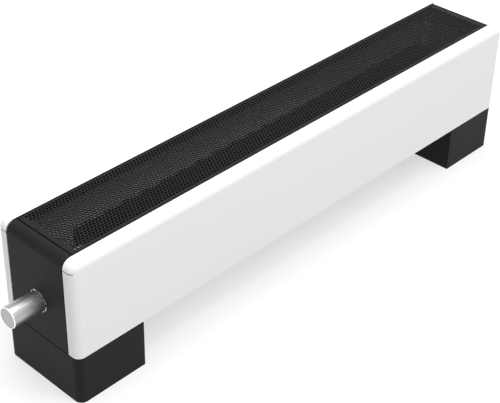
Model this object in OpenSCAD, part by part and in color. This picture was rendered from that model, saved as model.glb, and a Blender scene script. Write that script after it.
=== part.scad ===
// Floor standing water convector: a low white casing on two black feet,
// with a perforated lift-out grille and a thermostatic head through the left end cap.
// X runs along the casing, -Y is the front, Z is up, and the floor is z = 0.

/* [Casing] */
// Length of the casing over both end caps
casing_length = 800; // [700:10:1200]
// Depth of the casing from the front face to the rear face
casing_depth = 132; // [128:1:150]
// Height of the casing from the top of the feet to the grille
casing_height = 132; // [128:1:150]
// Thickness of the casing sheet
sheet = 1.5; // [1:0.1:2]
// Depth of the folded edges of the front and rear panels
panel_depth = 16.5; // [15:0.5:18]
// Radius of the rolled edges of the panels
edge_radius = 10; // [7:0.5:11]
// Radius of the upper corners of the panels and of the end caps
corner_radius = 12; // [11.5:0.5:14]
// Width of the top strip of an end cap
cap_strip = 14.5; // [13.5:0.5:20]
// Width of the bottom fold of an end cap
cap_fold = 14; // [12:0.5:15]
// Width of the slit at the foot of each rounded panel corner
corner_slit = 0.9; // [0.3:0.1:1]
// Gap between an end cap and the panels
cap_gap = 1.4; // [0.5:0.1:1.8]

/* [Grille] */
// Thickness of the grille sheet
grille_sheet = 1.2; // [1:0.1:1.5]
// Height of the folded rim of the grille
grille_rim = 8; // [6:0.5:12]
// Gap around the grille
grille_gap = 1.3; // [0.5:0.1:1.8]
// Plain border around the openings of the grille
grille_border = 7; // [5:0.5:10]
// Length of one air slot
slot_length = 38; // [20:1:50]
// Width of one air slot
slot_width = 5; // [3:0.5:6]
// Metal left between two slots
slot_bridge = 3; // [2:0.5:5]
// Width of the ledge that carries the grille
ledge_width = 4; // [3:0.5:6]
// Thickness of the rubber strips under the grille
strip_thickness = 1.5; // [1:0.5:3]

/* [Feet] */
// Height of the feet
foot_height = 67; // [60:1:90]
// Length of a foot along the casing
foot_length = 100; // [98:1:120]
// Set-back of the feet behind the panel faces
foot_setback = 0.7; // [0.5:0.1:2]
// Radius of the outer upright corners of the feet
foot_radius = 10; // [6:0.5:14]
// Depth of the joint groove between a foot cover and the casing
joint_groove = 0.6; // [0.3:0.1:1.2]
// Width of the flange at the top of a foot cover
foot_flange = 14; // [12:0.5:15]
// Thickness of the foot bracket plate
bracket_sheet = 3; // [2:0.5:4]
// Diameter of the floor bolt holes
floor_hole_d = 9; // [7:0.5:10]
// Spacing of the two floor bolt holes of one foot
floor_hole_spacing = 94; // [92:1:98]

/* [Heat exchanger] */
// Width of a fin
fin_width = 62; // [56:1:66]
// Height of a fin
fin_height = 50; // [40:1:54]
// Thickness of a fin
fin_sheet = 0.4; // [0.3:0.1:0.6]
// Distance between two fins
fin_pitch = 6; // [4:0.5:12]
// Distance from the left end of the casing to the exchanger's plate at the valve
valve_space = 80.5; // [76:0.5:86]
// Distance from the right end of the casing to the exchanger's plate at the return bend
bend_space = 72.5; // [68:0.5:84]
// Reach of the water tubes beyond the plate at the return bend
tube_reach = 30; // [26:1:36]
// Height of the water tubes above the axis of the head
tube_rise = 20.5; // [18:0.5:23]
// Outer diameter of the water tubes
tube_d = 15; // [12:0.5:16]
// Wall of the water tubes
tube_wall = 0.8; // [0.6:0.1:1.2]
// Distance between the two water tubes
tube_spacing = 31; // [28:1:34]
// Thickness of the cradle plates
cradle_sheet = 2; // [1.5:0.5:3]
// Clearance of a tube in a hole, on the diameter
tube_clearance = 0.2; // [0.1:0.05:0.4]

/* [Valve] */
// Height of the head's axis above the feet
head_height = 49.5; // [47:0.5:53]
// Diameter of the thermostatic head
head_d = 26.5; // [25:0.5:28]
// Reach of the head beyond the end cap
head_reach = 43.3; // [36:0.1:50]
// Gap around the head in the hole of the end cap
head_gap = 1.75; // [1.25:0.25:2.5]
// Rounding at the end of the head
head_round = 1.4; // [0.8:0.1:2]
// Width of the groove around the end disc of the head
disc_groove = 0.5; // [0.3:0.1:0.8]
// Thickness of the valve block
block_thickness = 18; // [18:0.5:20]
// Distance between the supply and the return connection
connection_spacing = 50; // [48:1:52]
// Inner diameter of the thread in the floor unions
union_bore_d = 18.6; // [16:0.1:19]
// Depth of the thread in the floor unions
union_thread = 13; // [10:0.5:14]
// Clearance of a shaft that turns or slides, on the diameter
running_clearance = 0.1; // [0.06:0.02:0.16]

/* [Fasteners] */
// Diameter of the foot bolts
bolt_d = 5; // [4:0.5:6]
// Diameter of the casing screws
screw_d = 4; // [3:0.5:5]
// Clearance of a fastener in its hole, on the diameter
fastener_clearance = 0.4; // [0.2:0.1:0.8]

/* [Hidden] */
$fn = 64;

// Main levels and half sizes
half_length = casing_length / 2;
half_depth = casing_depth / 2;
z_base = foot_height;
z_top = foot_height + casing_height;
inner_half_depth = half_depth - panel_depth;
lip_height = grille_rim + strip_thickness + sheet;

// Grille field
grille_length = casing_length - 2 * (cap_strip + grille_gap);
grille_width = 2 * (inner_half_depth - grille_gap);
slot_step_x = slot_length + slot_bridge;
slot_step_y = slot_width + slot_bridge;
slot_columns = floor((grille_length - 2 * grille_border + slot_bridge) / slot_step_x);
slot_rows = floor((grille_width - 2 * grille_border + slot_bridge) / slot_step_y);

// Exchanger levels
z_head = z_base + head_height;
z_tube = z_head + tube_rise;
z_fin_top = z_tube + fin_height / 2;
tube_y = tube_spacing / 2;
tube_hole_d = tube_d + tube_clearance;
fin_end_gap = 3;
fin_start = valve_space + cradle_sheet + fin_end_gap;
fin_run = casing_length - bend_space - cradle_sheet - fin_end_gap - fin_start;
fin_count = floor(fin_run / fin_pitch) + 1;
fin_first = fin_start + (fin_run - (fin_count - 1) * fin_pitch) / 2;
tube_end = casing_length - bend_space + tube_reach;

// Valve block, measured from the left end of the casing
block_gap = 16;
block_drop = 12;
block_rise = 13;
block_x1 = valve_space - block_gap;
block_x0 = block_x1 - block_thickness;
pipe_x = (block_x0 + block_x1) / 2;
pipe_y = connection_spacing / 2;
block_shoulder = 17;
block_half_width = pipe_y + block_shoulder;
block_bottom = z_head - block_drop;
block_top = z_tube + block_rise;
socket_depth = 5;
block_screw_d = 5;
block_screw_inset = 5;
block_screw_y = block_half_width - block_screw_inset;
block_screw_z = (z_head + z_tube) / 2;
passage_r = 5;
chamber_r = 8;
seat_r = 4;
seat_inset = 6;
seat_x = block_x1 - seat_inset;
chamber_x = pipe_x;
outlet_inset = 3.5;
outlet_x = block_x1 - outlet_inset;
spindle_r = 5;
vent_x = block_x1 - socket_depth / 2;
vent_height = 9;
vent_top = block_top + vent_height;
vent_screw_r = 2;
vent_stub_r = 3.5;

// Levels and walls of the floor unions, the riser pipes and their nuts
union_z0 = 6;
union_height = 28;
union_z1 = union_z0 + union_height;
union_wall = 3;
union_stem = 16;
riser_z0 = union_z1 - 12;
hex_wall = 5;
pipe_nut_height = 12;
pipe_nut_collar = 2;
pipe_nut_wall = 3.5;

// Cradle and foot bracket, measured from the end of the casing
base_start = 3;
base_step = corner_radius + 4;
base_end = foot_length - 2;
base_half_depth = half_depth - sheet - 0.7;
base_tongue = inner_half_depth - cap_gap - sheet - 0.6;
z_base_plate = z_base + sheet;
pipe_hole_d = tube_d + 6;
bolt_hex = 0.95 * bolt_d;
bolt_play = 0.5;
bracket_reach = 26;
bracket_x0 = pipe_x - bracket_reach;
bracket_x1 = pipe_x + bracket_reach;
bracket_flange = bracket_sheet + 2 * (bolt_hex + bolt_play);
floor_plate_half = floor_hole_spacing / 2 + 9;
union_hole_d = 28;
bolt_y = fin_width / 2 + bolt_hex + bolt_play;
bracket_half_width = bolt_y + bolt_hex + 1;
bolt_reach = bracket_reach - bracket_sheet - bolt_hex - bolt_play;
bolt_xs = [pipe_x - bolt_reach, pipe_x + bolt_reach];
screw_xs = [base_step + 14, foot_length - 15];
screw_y = half_depth - panel_depth / 2;
cap_screw_x = (base_start + cap_fold) / 2;
cap_screw_y = 25;

// Parts of the thermostatic head, measured from the left end of the casing
knob_wall = 2.5;
nut_wall = 3.2;
nut_setback = 32.5;
nut_length = 20;
nut_lip = 6;
nut_play = 0.3;
nut_rim_wall = 1;
nut_notches = 8;
nut_notch = 3;
nut_start = block_x0 - nut_setback;
nut_collar_r = head_d / 2 + nut_play;
nut_outer_r = nut_collar_r + nut_wall;
thread_r = nut_outer_r - 2.2;
insert_start = nut_start + 12;
insert_flange = 6;
base_r = head_d / 2 - knob_wall;
base_flange_r = thread_r - nut_play;
nut_lip_r = base_r + 1.2;
sleeve_end = nut_start - 6;
sleeve_cap = 3;
sensor_r = base_r - 3.5;
sensor_gap = 9;
sensor_end = nut_start - 2;
pin_r = 2;
pin_tip = insert_start - 6;
disc_r = 6.5;
disc_thickness = 3;
disc_gap = 1.5;

// Colours
white_paint = [0.92, 0.92, 0.91];
black_paint = [0.10, 0.10, 0.10];
dark_coat = [0.22, 0.22, 0.23];
zinc = [0.66, 0.68, 0.70];
copper = [0.76, 0.45, 0.30];
brass = [0.74, 0.62, 0.34];
steel = [0.72, 0.72, 0.71];
rubber = [0.07, 0.07, 0.07];

// Position along X at a distance from the left end
function from_left(d) = d - half_length;

// Both ends: the children are drawn at the left and mirrored to the right
module both_ends() {
    children();
    mirror([1, 0, 0]) children();
}

// Front and rear: the children are drawn at the front and mirrored to the rear
module both_sides() {
    children();
    mirror([0, 1, 0]) children();
}

// Cylinder along X that starts at x0, measured from the left end
module rod_x(x0, x1, r, y, z, sides = 64) {
    translate([from_left(x0), y, z]) rotate([0, 90, 0]) cylinder(h = x1 - x0, r = r, $fn = sides);
}

// Cylinder along Z
module rod_z(z0, z1, r, x, y, sides = 64) {
    translate([from_left(x), y, z0]) cylinder(h = z1 - z0, r = r, $fn = sides);
}

// Block between two corners, with x measured from the left end
module block(x0, x1, y0, y1, z0, z1) {
    translate([from_left(x0), y0, z0]) cube([x1 - x0, y1 - y0, z1 - z0]);
}

// Section of a panel edge: a flat run, the rolled edge and its straight return
module rolled_edge(run) {
    translate([-run, 0]) square([run - edge_radius, sheet]);
    translate([-edge_radius, edge_radius]) intersection() {
        difference() {
            circle(r = edge_radius);
            circle(r = edge_radius - sheet);
        }
        translate([0, -edge_radius]) square(edge_radius);
    }
    translate([-sheet, edge_radius]) square([sheet, panel_depth - edge_radius]);
}

// Lip and ledge under the top return, where the grille rests
module grille_lip() {
    translate([-lip_height, panel_depth - sheet]) square([lip_height - sheet, sheet]);
    translate([-lip_height, panel_depth]) square([sheet, ledge_width]);
}

// One casing panel, drawn as the front one
module panel() {
    straight = casing_length - 2 * corner_radius;
    translate([0, -half_depth, z_top]) rotate([0, -90, 0]) {
        linear_extrude(straight, center = true) rolled_edge(casing_height);
        linear_extrude(grille_length, center = true) grille_lip();
    }
    translate([-straight / 2, sheet - half_depth, z_base]) cube([straight, panel_depth - sheet, sheet]);
    both_ends() {
        translate([half_length, -half_depth, z_base])
            linear_extrude(casing_height - corner_radius) rolled_edge(corner_radius);
        translate([half_length - corner_radius, -half_depth, z_top - corner_radius])
            rotate([-90, 0, 0]) rotate([0, 0, -90]) rotate_extrude(angle = 90)
                translate([corner_radius, 0]) rolled_edge(corner_radius);
    }
}

// Holes for the casing screws of one end, at the front and at the rear
module panel_screw_holes(z0, z1) {
    for (x = screw_xs)
        both_sides() rod_z(z0, z1, (screw_d + fastener_clearance) / 2, x, -screw_y);
}

// Holes for the casing screws of one end cap
module cap_screw_holes(z0, z1) {
    both_sides() rod_z(z0, z1, (screw_d + fastener_clearance) / 2, cap_screw_x, -cap_screw_y);
}

module front_panel() {
    color(white_paint) difference() {
        panel();
        both_ends() {
            panel_screw_holes(z_base - 1, z_base + sheet + 1);
            block(-1, edge_radius / 2, sheet + 1 - half_depth, panel_depth + 1 - half_depth,
                z_top - corner_radius - corner_slit, z_top - corner_radius);
        }
    }
}

module rear_panel() {
    mirror([0, 1, 0]) front_panel();
}

// Section of an end cap: upright face, rounded top, top strip, lip and bottom fold
module cap_section() {
    square([sheet, casing_height - corner_radius]);
    translate([corner_radius, casing_height - corner_radius]) intersection() {
        difference() {
            circle(r = corner_radius);
            circle(r = corner_radius - sheet);
        }
        translate([-corner_radius, 0]) square(corner_radius);
    }
    translate([corner_radius, casing_height - sheet]) square([cap_strip - corner_radius, sheet]);
    translate([cap_strip - sheet, casing_height - lip_height]) square([sheet, lip_height - sheet]);
    translate([sheet, 0]) square([cap_fold - sheet, sheet]);
}

// One end cap, drawn as the left one
module end_cap() {
    cap_width = 2 * (inner_half_depth - cap_gap);
    side_fold = corner_radius - sheet;
    difference() {
        union() {
            translate([-half_length, 0, z_base]) rotate([90, 0, 0])
                linear_extrude(cap_width, center = true) cap_section();
            both_sides() block(sheet, side_fold, -cap_width / 2, sheet - cap_width / 2,
                z_base + sheet, z_top - corner_radius - sheet);
        }
        cap_screw_holes(z_base - 1, z_base + sheet + 1);
    }
}

module left_end_cap() {
    color(black_paint) difference() {
        end_cap();
        rod_x(-1, sheet + 1, head_d / 2 + head_gap, 0, z_head);
    }
}

module right_end_cap() {
    color(white_paint) mirror([1, 0, 0]) end_cap();
}

module grille() {
    rim_z = z_top - grille_rim;
    color(black_paint) {
        translate([0, 0, z_top - grille_sheet]) linear_extrude(grille_sheet) difference() {
            square([grille_length, grille_width], center = true);
            for (column = [0 : slot_columns - 1])
                for (row = [0 : slot_rows - 1])
                    translate([
                        (column - (slot_columns - 1) / 2) * slot_step_x,
                        (row - (slot_rows - 1) / 2) * slot_step_y
                    ]) square([slot_length, slot_width], center = true);
        }
        translate([0, 0, rim_z]) linear_extrude(grille_rim - grille_sheet) difference() {
            square([grille_length, grille_width], center = true);
            square([grille_length - 2 * grille_sheet, grille_width - 2 * grille_sheet], center = true);
        }
    }
}

// Rubber strips between the ledges and the rim of the grille
module grille_strips() {
    strip_z = z_top - lip_height + sheet;
    color(rubber) both_sides()
        translate([-grille_length / 2, -inner_half_depth, strip_z])
            cube([grille_length, ledge_width, strip_thickness]);
}

// One cradle: a base plate on the foot bracket and an upright that carries the tubes
module cradle(plate_x) {
    plate_z1 = z_base_plate + cradle_sheet;
    hole_z0 = z_base_plate - 1;
    hole_z1 = plate_z1 + 1;
    upright_x1 = plate_x + cradle_sheet;
    difference() {
        union() {
            block(base_step, base_end, -base_half_depth, base_half_depth, z_base_plate, plate_z1);
            block(base_start, base_step, -base_tongue, base_tongue, z_base_plate, plate_z1);
            block(plate_x, upright_x1, -fin_width / 2, fin_width / 2, plate_z1, z_fin_top);
        }
        both_sides() {
            rod_x(plate_x - 1, upright_x1 + 1, tube_hole_d / 2, -tube_y, z_tube);
            rod_z(hole_z0, hole_z1, pipe_hole_d / 2, pipe_x, -pipe_y);
            for (x = bolt_xs)
                rod_z(hole_z0, hole_z1, (bolt_d + fastener_clearance) / 2, x, -bolt_y);
        }
        panel_screw_holes(hole_z0, hole_z1);
        cap_screw_holes(hole_z0, hole_z1);
    }
}

// The left cradle has wings for the screws of the valve block
module left_cradle() {
    upright_x1 = valve_space + cradle_sheet;
    color(dark_coat) difference() {
        union() {
            cradle(valve_space);
            both_sides() block(valve_space, upright_x1, -block_half_width, 1 - fin_width / 2,
                z_base_plate + cradle_sheet, block_screw_z + block_screw_d);
        }
        both_sides() rod_x(valve_space - 1, upright_x1 + 1, (block_screw_d + fastener_clearance) / 2,
            -block_screw_y, block_screw_z);
    }
}

module right_cradle() {
    color(dark_coat) mirror([1, 0, 0]) cradle(bend_space);
}

// Outline of a foot, with round corners at the outer end
module foot_outline(inset) {
    half_width = half_depth - foot_setback;
    translate([foot_radius, inset - half_width])
        square([foot_length - foot_radius - inset, 2 * (half_width - inset)]);
    translate([inset, foot_radius - half_width])
        square([foot_length - 2 * inset, 2 * (half_width - foot_radius)]);
    for (side = [-1, 1])
        translate([foot_radius, side * (half_width - foot_radius)]) circle(r = foot_radius - inset);
}

// One foot cover: a sleeve on the floor with a flange under the casing
module foot_cover() {
    half_width = half_depth - foot_setback;
    difference() {
        translate([-half_length, 0, 0]) {
            linear_extrude(foot_height - sheet) difference() {
                foot_outline(0);
                foot_outline(sheet);
            }
            translate([0, 0, foot_height - sheet]) linear_extrude(sheet) difference() {
                foot_outline(joint_groove);
                translate([foot_flange, foot_flange - half_width])
                    square([foot_length - foot_flange - sheet, 2 * (half_width - foot_flange)]);
            }
        }
        panel_screw_holes(foot_height - sheet - 1, foot_height + 1);
        cap_screw_holes(foot_height - sheet - 1, foot_height + 1);
    }
}

module left_foot_cover() {
    color(black_paint) foot_cover();
}

module right_foot_cover() {
    mirror([1, 0, 0]) left_foot_cover();
}

// One foot bracket: floor plate, two uprights and two top flanges folded inwards
module foot_bracket() {
    flange_z = z_base_plate - bracket_sheet;
    difference() {
        union() {
            block(bracket_x0, bracket_x1, -floor_plate_half, floor_plate_half, 0, bracket_sheet);
            for (x = [bracket_x0, bracket_x1 - bracket_sheet])
                block(x, x + bracket_sheet, -bracket_half_width, bracket_half_width,
                    bracket_sheet, flange_z);
            for (x = [bracket_x0, bracket_x1 - bracket_flange])
                block(x, x + bracket_flange, -bracket_half_width, bracket_half_width,
                    flange_z, z_base_plate);
        }
        both_sides() {
            rod_z(-1, bracket_sheet + 1, floor_hole_d / 2, pipe_x, -floor_hole_spacing / 2);
            rod_z(-1, bracket_sheet + 1, union_hole_d / 2, pipe_x, -pipe_y);
            for (x = bolt_xs)
                rod_z(flange_z - 1, z_base_plate + 1, (bolt_d + fastener_clearance) / 2, x, -bolt_y);
        }
    }
}

module left_foot_bracket() {
    color(zinc) foot_bracket();
}

module right_foot_bracket() {
    mirror([1, 0, 0]) left_foot_bracket();
}

// Thin plates with two tube holes each
module fin_pack() {
    color(dark_coat) for (i = [0 : fin_count - 1])
        translate([from_left(fin_first + i * fin_pitch), 0, z_tube]) rotate([0, 90, 0])
            linear_extrude(fin_sheet, center = true) difference() {
                square([fin_height, fin_width], center = true);
                for (side = [-1, 1]) translate([0, side * tube_y]) circle(d = tube_hole_d);
            }
}

// One straight water tube, from the valve block to the return bend
module water_tube(y) {
    start = block_x1 - socket_depth + 1;
    color(copper) difference() {
        rod_x(start, tube_end, tube_d / 2, y, z_tube);
        rod_x(start - 1, tube_end + 1, tube_d / 2 - tube_wall, y, z_tube);
    }
}

module front_tube() {
    water_tube(-tube_y);
}

module rear_tube() {
    water_tube(tube_y);
}

// Half ring that joins the two tubes at the right end
module return_bend() {
    color(copper) translate([from_left(tube_end), 0, z_tube])
        rotate([0, 0, -90]) rotate_extrude(angle = 180) translate([tube_y, 0]) difference() {
            circle(d = tube_d);
            circle(d = tube_d - 2 * tube_wall);
        }
}

// Brass block with the supply and return passages
module valve_block() {
    rise = z_tube - z_head;
    passage_length = sqrt(rise * rise + tube_y * tube_y);
    passage_tilt = atan2(tube_y, rise);
    color(brass) difference() {
        block(block_x0, block_x1, -block_half_width, block_half_width, block_bottom, block_top);
        both_sides() {
            rod_x(block_x1 - socket_depth, block_x1 + 1, tube_hole_d / 2, -tube_y, z_tube);
            rod_z(block_bottom - 1, block_bottom + socket_depth, tube_hole_d / 2, pipe_x, -pipe_y);
            rod_x(block_x0 - 1, block_x1 + 1, (block_screw_d + fastener_clearance) / 2,
                -block_screw_y, block_screw_z);
        }
        // Valve chamber and seat
        rod_x(block_x0 - 1, seat_x, chamber_r, 0, z_head);
        rod_x(seat_x - 1, block_x1 - 2, seat_r, 0, z_head);
        // Supply: up from the port and across to the chamber
        rod_z(block_bottom, z_head, passage_r, pipe_x, -pipe_y);
        translate([from_left(pipe_x), -pipe_y, z_head]) rotate([-90, 0, 0])
            cylinder(h = pipe_y - chamber_r / 2, r = passage_r - 0.5);
        // Outlet from the seat up to the front tube
        translate([from_left(outlet_x), 0, z_head]) rotate([passage_tilt, 0, 0])
            cylinder(h = passage_length, r = seat_r - 1.5);
        // Return: across from the rear tube and down to the port, with the shut-off above
        translate([from_left(pipe_x), tube_y, z_tube]) rotate([-90, 0, 0])
            cylinder(h = pipe_y - tube_y, r = passage_r - 0.5);
        rod_z(block_bottom, block_top + 1, spindle_r + running_clearance / 2, pipe_x, pipe_y);
        // Air vent above the front tube
        rod_z(z_tube, block_top + 1, vent_stub_r + tube_clearance / 2, vent_x, -tube_y);
    }
}

// Spacers between the block and the cradle upright
module block_spacers() {
    color(zinc) both_sides() difference() {
        rod_x(block_x1, valve_space, block_screw_d, -block_screw_y, block_screw_z);
        rod_x(block_x1 - 1, valve_space + 1, (block_screw_d + fastener_clearance) / 2,
            -block_screw_y, block_screw_z);
    }
}

module block_screws() {
    head_h = 4;
    color(zinc) both_sides() {
        rod_x(block_x0, valve_space + cradle_sheet + 4, block_screw_d / 2, -block_screw_y, block_screw_z);
        difference() {
            rod_x(block_x0 - head_h, block_x0, block_screw_d * 0.85, -block_screw_y, block_screw_z);
            rod_x(block_x0 - head_h - 1, block_x0 - 1.5, block_screw_d * 0.46, -block_screw_y,
                block_screw_z, 6);
        }
    }
}

module block_nuts() {
    nut_x0 = valve_space + cradle_sheet;
    color(zinc) both_sides() difference() {
        rod_x(nut_x0, nut_x0 + 2.6, block_screw_d * 0.9, -block_screw_y, block_screw_z, 6);
        rod_x(nut_x0 - 1, nut_x0 + 4, (block_screw_d + fastener_clearance) / 2,
            -block_screw_y, block_screw_z);
    }
}

// One riser pipe between a floor union and the block
module riser(y) {
    top = block_bottom + socket_depth - 1;
    color(copper) difference() {
        rod_z(riser_z0, top, tube_d / 2, pipe_x, y);
        rod_z(riser_z0 - 1, top + 1, tube_d / 2 - tube_wall, pipe_x, y);
    }
}

module supply_pipe() {
    riser(-pipe_y);
}

module return_pipe() {
    riser(pipe_y);
}

// Hex nuts that seal the risers to the block
module pipe_nuts() {
    nut_z0 = block_bottom - pipe_nut_height;
    nut_z1 = block_bottom - pipe_nut_collar;
    color(brass) both_sides() difference() {
        union() {
            rod_z(nut_z0, nut_z1, tube_d / 2 + hex_wall, pipe_x, -pipe_y, 6);
            rod_z(nut_z1, block_bottom, tube_d / 2 + pipe_nut_wall, pipe_x, -pipe_y);
        }
        rod_z(nut_z0 - 1, block_bottom + 1, tube_hole_d / 2, pipe_x, -pipe_y);
    }
}

// Unions at the floor: a thread below and a socket for the riser above
module floor_unions() {
    color(brass) both_sides() difference() {
        union() {
            rod_z(union_z0, union_z0 + union_stem, union_bore_d / 2 + union_wall, pipe_x, -pipe_y);
            rod_z(union_z0 + union_stem, union_z1, tube_d / 2 + hex_wall, pipe_x, -pipe_y, 6);
        }
        rod_z(union_z0 - 1, union_z0 + union_thread, union_bore_d / 2, pipe_x, -pipe_y);
        rod_z(riser_z0 - 1, union_z1 + 1, tube_hole_d / 2, pipe_x, -pipe_y);
        rod_z(union_z0, union_z1, tube_d / 2 - tube_wall, pipe_x, -pipe_y);
    }
}

// Valve insert: body in the block, hex flange and thread for the head
module valve_insert() {
    body_end = chamber_x - 3;
    color(zinc) difference() {
        union() {
            rod_x(insert_start, block_x0 - insert_flange, thread_r, 0, z_head);
            rod_x(block_x0 - insert_flange, block_x0, thread_r + 2, 0, z_head, 6);
            rod_x(block_x0, body_end, chamber_r - 0.1, 0, z_head);
        }
        rod_x(insert_start - 1, body_end + 1, pin_r + running_clearance / 2, 0, z_head);
    }
}

// Valve pin with the disc that closes the seat
module valve_pin() {
    disc_x1 = seat_x - disc_gap;
    color(steel) {
        rod_x(pin_tip, disc_x1, pin_r, 0, z_head);
        rod_x(disc_x1 - disc_thickness, disc_x1, disc_r, 0, z_head);
    }
}

// Sensor capsule that pushes the pin
module sensor() {
    color(copper) {
        rod_x(sleeve_cap + sensor_gap - head_reach, sensor_end, sensor_r, 0, z_head);
        rod_x(sensor_end, pin_tip, pin_r + 1, 0, z_head);
    }
}

// Carrier of the head: tube for the knob and flange for the union nut
module head_base() {
    start = sleeve_cap + 2 - head_reach;
    color(black_paint) difference() {
        union() {
            rod_x(start, nut_start + nut_lip + nut_play, base_r, 0, z_head);
            rod_x(nut_start + nut_lip + nut_play, insert_start - nut_play, base_flange_r, 0, z_head);
        }
        rod_x(start - 1, insert_start, sensor_r + 0.4, 0, z_head);
    }
}

// Union nut that clamps the carrier to the insert, with a notched collar in the hole of the end cap
module head_nut() {
    shoulder = sheet + nut_play;
    rim_front = sheet / 3;
    color(steel) difference() {
        union() {
            rod_x(shoulder, nut_start + nut_length, nut_outer_r, 0, z_head);
            rod_x(rim_front, shoulder + 1, nut_collar_r + nut_rim_wall, 0, z_head);
        }
        rod_x(rim_front - 1, nut_start, nut_collar_r, 0, z_head);
        for (i = [0 : nut_notches - 1])
            translate([from_left(rim_front), 0, z_head]) rotate([i * 360 / nut_notches, 0, 0])
                translate([-1, -nut_notch / 2, base_r])
                    cube([shoulder + 1 + nut_notch, nut_notch, nut_outer_r]);
        rod_x(nut_start - 1, nut_start + nut_lip + 1, nut_lip_r, 0, z_head);
        rod_x(nut_start + nut_lip, nut_start + nut_length + 1, thread_r + 0.2, 0, z_head);
    }
}

// Section of the turning sleeve: a rounded outer edge and a groove around the end disc
module knob_section() {
    total = head_reach + sleeve_end;
    round_x = head_d / 2 - head_round;
    difference() {
        union() {
            square([round_x, total]);
            translate([0, head_round]) square([head_d / 2, total - head_round]);
            translate([round_x, head_round]) circle(r = head_round);
        }
        translate([0, sleeve_cap]) square([base_r + running_clearance / 2, total]);
        translate([round_x - disc_groove, -1]) square([disc_groove, 1 + disc_groove]);
    }
}

// Turning sleeve of the head, closed at its end
module thermostat_knob() {
    color(steel) translate([from_left(-head_reach), 0, z_head]) rotate([0, 90, 0])
        rotate_extrude() knob_section();
}

// Ring that guides the shut-off spindle
module lockshield_gland() {
    color(brass) difference() {
        rod_z(block_top, block_top + 6, spindle_r + 3.5, pipe_x, pipe_y, 6);
        rod_z(block_top - 1, block_top + 7, spindle_r + running_clearance / 2, pipe_x, pipe_y);
    }
}

// Shut-off spindle with a hex socket
module lockshield_spindle() {
    color(steel) difference() {
        rod_z(z_tube - 8, block_top + 9, spindle_r, pipe_x, pipe_y);
        rod_z(block_top + 3, block_top + 10, spindle_r * 0.6, pipe_x, pipe_y, 6);
    }
}

// Air vent body: a stub in the block and a hex above it
module air_vent() {
    color(brass) difference() {
        union() {
            rod_z(block_top - 4, block_top, vent_stub_r, vent_x, -tube_y);
            rod_z(block_top, vent_top, vent_stub_r + 2.5, vent_x, -tube_y, 6);
        }
        rod_z(block_top - 5, vent_top + 1, vent_screw_r + running_clearance / 2, vent_x, -tube_y);
    }
}

// Bleed screw with a slotted head
module bleed_screw() {
    head_z = vent_top + 0.3;
    color(steel) difference() {
        union() {
            rod_z(block_top - 2, head_z, vent_screw_r, vent_x, -tube_y);
            rod_z(head_z, head_z + 4, vent_screw_r * 2, vent_x, -tube_y);
        }
        translate([from_left(vent_x), -tube_y, head_z + 4]) cube([5 * vent_screw_r, 1.2, 3], center = true);
    }
}

// Hex bolts from the bracket flanges into the cradles
module foot_bolts() {
    flange_z = z_base_plate - bracket_sheet;
    color(zinc) both_ends() both_sides() for (x = bolt_xs) {
        rod_z(flange_z - bolt_d * 0.7, flange_z, bolt_hex, x, -bolt_y, 6);
        rod_z(flange_z, z_base_plate + cradle_sheet + bolt_d + 1, bolt_d / 2, x, -bolt_y);
    }
}

module foot_nuts() {
    nut_z = z_base_plate + cradle_sheet;
    color(zinc) both_ends() both_sides() for (x = bolt_xs) difference() {
        rod_z(nut_z, nut_z + bolt_d * 0.8, bolt_hex, x, -bolt_y, 6);
        rod_z(nut_z - 1, nut_z + bolt_d, (bolt_d + fastener_clearance) / 2, x, -bolt_y);
    }
}

// Pan head screws that clamp the foot covers, panels and end caps to the cradles
module casing_screws() {
    head_z = foot_height - sheet;
    module one(x, y) {
        rod_z(head_z - screw_d * 0.6, head_z, screw_d, x, y);
        rod_z(head_z, z_base_plate + cradle_sheet + 2, screw_d / 2, x, y);
    }
    color(zinc) both_ends() both_sides() {
        for (x = screw_xs) one(x, -screw_y);
        one(cap_screw_x, -cap_screw_y);
    }
}

front_panel();
rear_panel();
left_end_cap();
right_end_cap();
grille();
grille_strips();
left_cradle();
right_cradle();
left_foot_cover();
right_foot_cover();
left_foot_bracket();
right_foot_bracket();
fin_pack();
front_tube();
rear_tube();
return_bend();
valve_block();
block_spacers();
block_screws();
block_nuts();
supply_pipe();
return_pipe();
pipe_nuts();
floor_unions();
valve_insert();
valve_pin();
sensor();
head_base();
head_nut();
thermostat_knob();
lockshield_gland();
lockshield_spindle();
air_vent();
bleed_screw();
foot_bolts();
foot_nuts();
casing_screws();
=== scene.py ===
"""Looks of a floor-standing water convector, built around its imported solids.

Lengths are metres in the part's frame: X along the casing, -Y the front, Z up from the floor.
"""

import logging
import math
from dataclasses import dataclass, replace
from enum import Enum
from typing import Sequence, Union

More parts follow.
